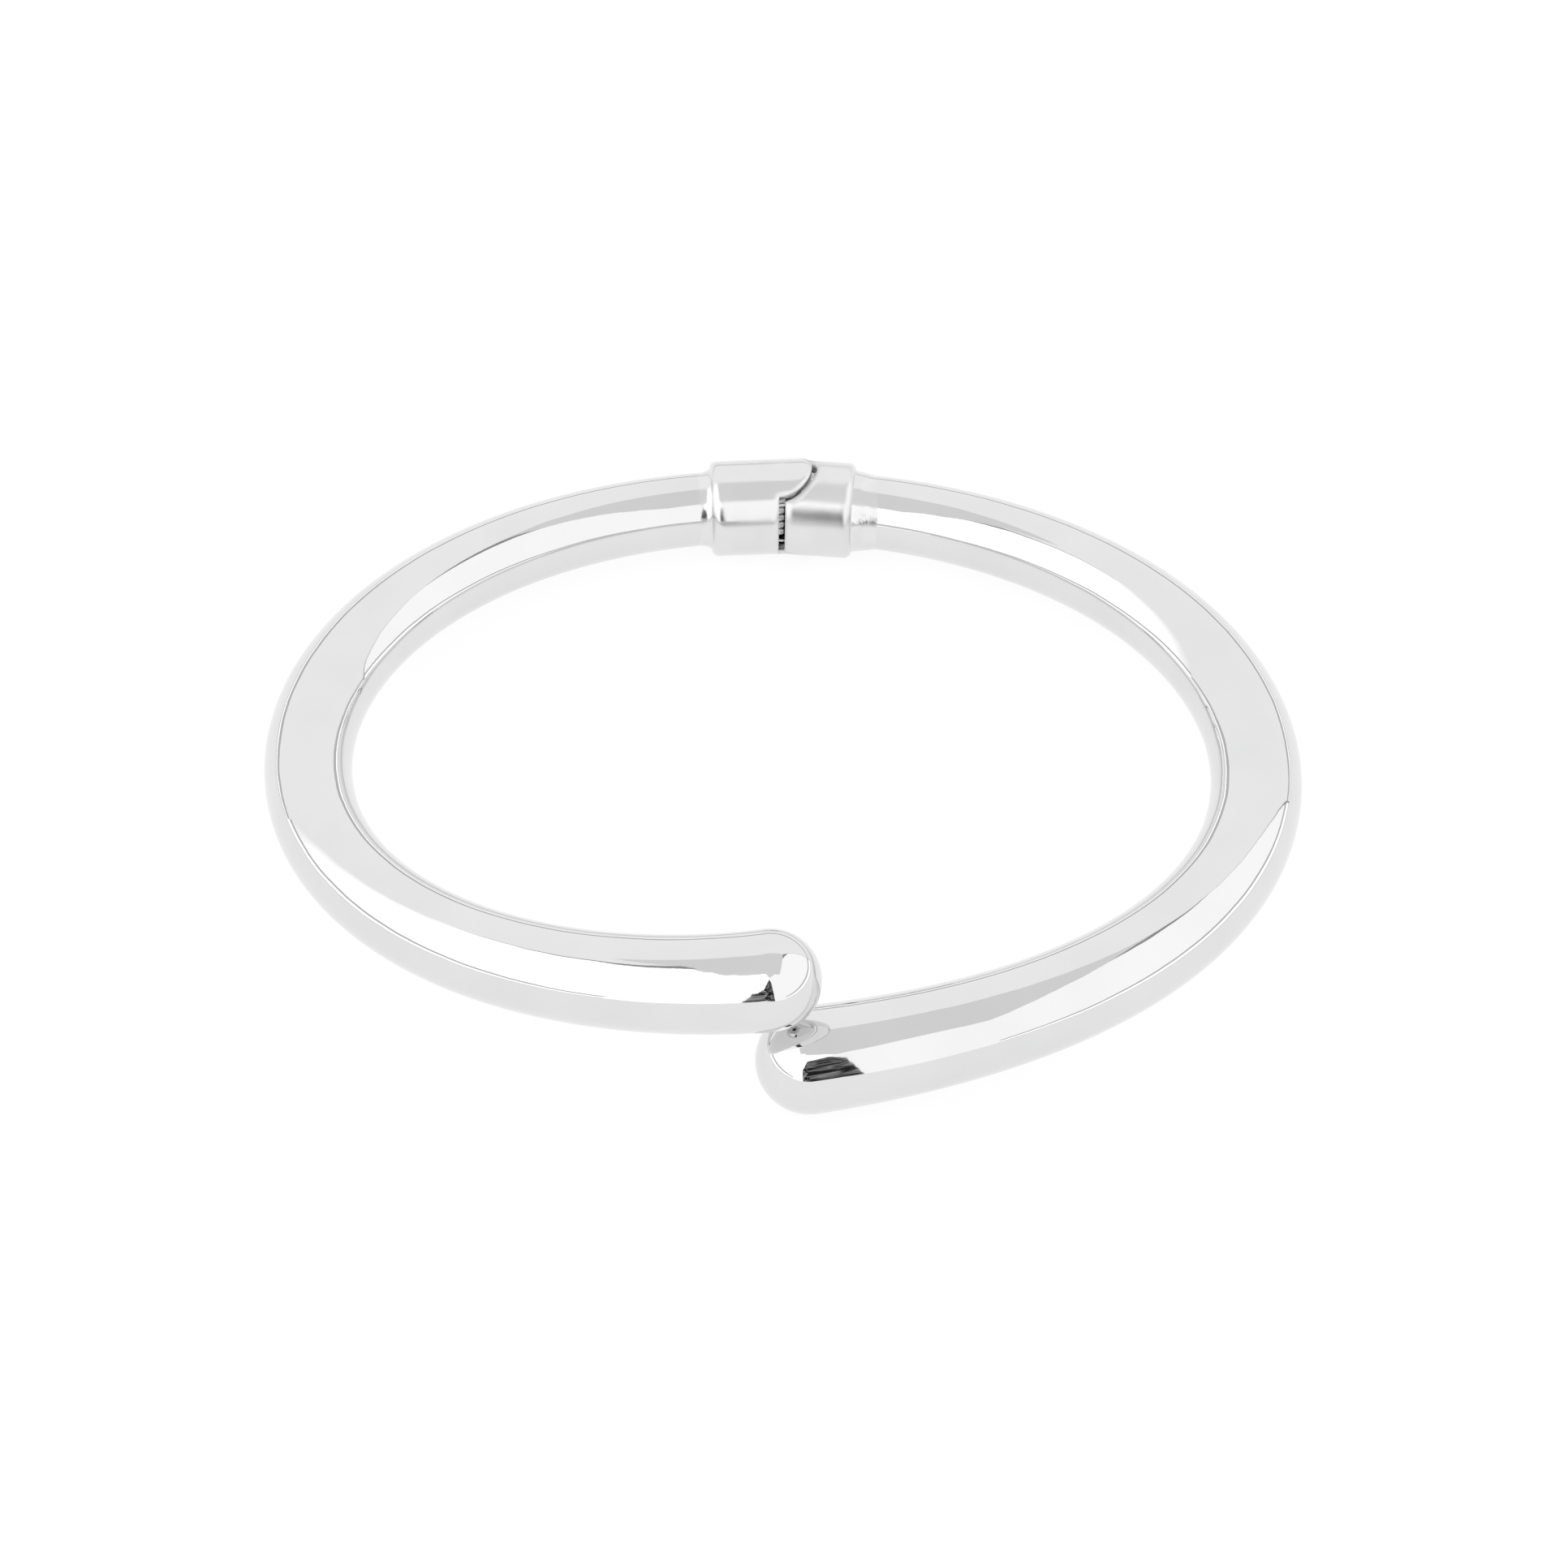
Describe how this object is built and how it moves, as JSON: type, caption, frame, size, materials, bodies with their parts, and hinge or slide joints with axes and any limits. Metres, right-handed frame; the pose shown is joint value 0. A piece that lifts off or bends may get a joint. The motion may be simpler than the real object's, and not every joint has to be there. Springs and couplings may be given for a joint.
{
  "type": "bangle bracelet",
  "caption": "Oval hinged bypass bangle: two hollow tapered tube halves on a sprung hinge, with domed tips that cross at the front.",
  "frame": {"origin": "centre of the bangle's box, which is the centre of the wrist opening", "axes": "+Z along the wrist, with the left tip above the right one; +X to the wide side; +Y towards the hinge"},
  "size_m": [0.0703, 0.0611, 0.0137],
  "materials": {
    "polished_silver": "mirror polished silver",
    "silver_solder": "polished solder, slightly uneven",
    "hinge_metal": "satin, as cast",
    "spring_steel": "drawn wire"
  },
  "bodies": {
    "right_half": {"right_tube": "polished_silver", "right_tip_cap": "polished_silver", "right_neck_ring": "silver_solder", "right_hinge_barrel": "polished_silver", "right_hinge_insert": "hinge_metal", "torsion_spring": "spring_steel"},
    "left_half": {"left_tube": "polished_silver", "left_tip_cap": "polished_silver", "left_neck_ring": "silver_solder", "left_hinge_barrel": "polished_silver", "left_hinge_insert": "hinge_metal", "hinge_pin": "hinge_metal"}
  },
  "joints": [
    {"name": "hinge_opening", "type": "hinge", "parent": "right_half", "child": "left_half", "pos_m": [-0.00045, 0.02735, 0], "axis": [0, 0, -1], "range_deg": [0, 40], "stiffness_Nm_per_rad": 0.033, "springref_deg": -60.16, "deforming": ["torsion_spring"]}
  ]
}
